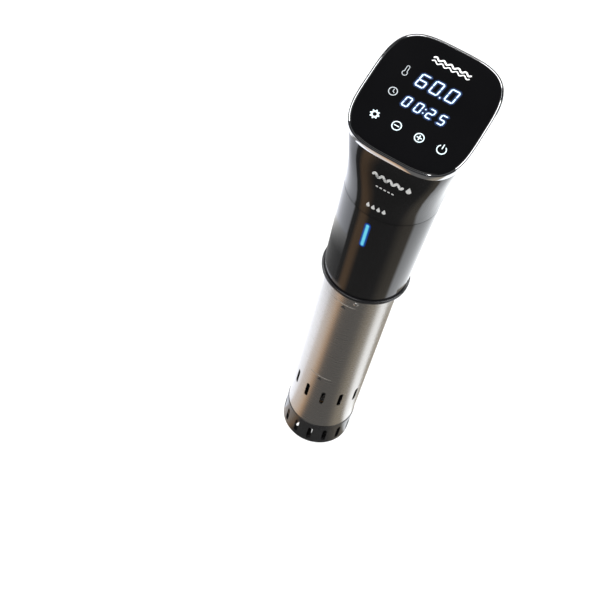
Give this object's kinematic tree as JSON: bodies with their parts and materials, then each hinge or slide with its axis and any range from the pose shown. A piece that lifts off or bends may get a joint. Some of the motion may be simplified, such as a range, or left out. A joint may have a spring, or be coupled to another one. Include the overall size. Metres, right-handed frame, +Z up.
{
  "type": "sous vide circulator",
  "caption": "Stick immersion circulator with a tilted square touch head, black tapered body, removable slotted steel sleeve and sprung rear pot clip.",
  "frame": {"origin": "centre of the flat foot of the end cap, on the stick's axis", "axes": "+Z up the stick, -Y towards the front that the touch panel faces, +X to the right seen from the front"},
  "size_m": [0.0871, 0.0946, 0.3804],
  "materials": {
    "black_shell": "piano-black gloss, moulded",
    "trim_plastic": "satin black moulded plastic",
    "chrome_rim": "bright chrome plating",
    "panel_glass": "glossy black touch panel, tinted glass printed black on its back",
    "blue_lens": "clear blue lens lit from behind",
    "black_rubber": "matte black rubber",
    "foam": "conductive foam",
    "brushed_sleeve": "satin brushed stainless steel",
    "bright_steel": "drawn stainless steel",
    "zinc_screws": "zinc-plated steel",
    "black_plastic": "fine-textured black plastic",
    "green_board": "green solder mask",
    "white_plastic": "plain white plastic",
    "capacitor_sleeve": "shrink-wrapped capacitor sleeve",
    "iron_core": "varnished steel laminations",
    "motor_can": "zinc-plated drawn can",
    "bronze": "sintered bronze"
  },
  "bodies": {
    "housing": {"head_shell": "black_shell", "body_shell": "black_shell", "base_ring": "trim_plastic", "bezel_ring": "chrome_rim", "display_glass": "panel_glass", "light_window": "blue_lens", "cord_gland": "black_rubber", "sleeve_seal": "black_rubber", "seam_gasket": "black_rubber", "shaft_seal": "black_rubber", "touch_pads": "foam", "clip_pin": "bright_steel", "clip_spring": "bright_steel", "temperature_probe": "bright_steel", "level_probes": "bright_steel", "heating_element": "bright_steel", "shaft_column": "bright_steel", "heater_brace": "bright_steel", "motor_plate": "bright_steel", "motor_standoffs": "bright_steel", "board_posts": "bright_steel", "bracket_screws": "zinc_screws", "board_screws": "zinc_screws", "shell_screws": "zinc_screws", "bulkhead_screws": "zinc_screws", "motor_screws": "zinc_screws", "clip_bracket": "black_plastic", "bulkhead": "black_plastic", "relay": "black_plastic", "beeper": "black_plastic", "led_display": "black_plastic", "display_board": "green_board", "power_board": "green_board", "indicator_led": "green_board", "terminal_block": "white_plastic", "ribbon_cable": "white_plastic", "thermal_cutout": "white_plastic", "filter_capacitors": "capacitor_sleeve", "transformer": "iron_core", "motor_stator": "iron_core", "motor_housing": "motor_can", "motor_bearings": "bronze", "lower_bush": "bronze"},
    "rotor": {"motor_shaft": "bright_steel", "motor_rotor": "iron_core", "cooling_fan": "black_plastic", "impeller": "black_plastic", "impeller_nut": "bright_steel"},
    "clip": {"clip_arm": "black_plastic", "clip_pad": "black_rubber"},
    "sleeve": {"steel_sleeve": "brushed_sleeve", "end_cap": "trim_plastic"}
  },
  "joints": [
    {"name": "rotor_spin", "type": "hinge", "parent": "housing", "child": "rotor", "pos_m": [0, 0, 0.25], "axis": [0, 0, 1], "continuous": true},
    {"name": "clip_swing", "type": "hinge", "parent": "housing", "child": "clip", "pos_m": [0, 0.044, 0.226], "axis": [1, 0, 0], "range_deg": [0, 15], "stiffness_Nm_per_rad": 0.8, "springref_deg": -11.46, "deforming": ["clip_spring"]},
    {"name": "sleeve_pull", "type": "slide", "parent": "housing", "child": "sleeve", "axis": [0, 0, -1], "range_m": [0, 0.21]}
  ]
}
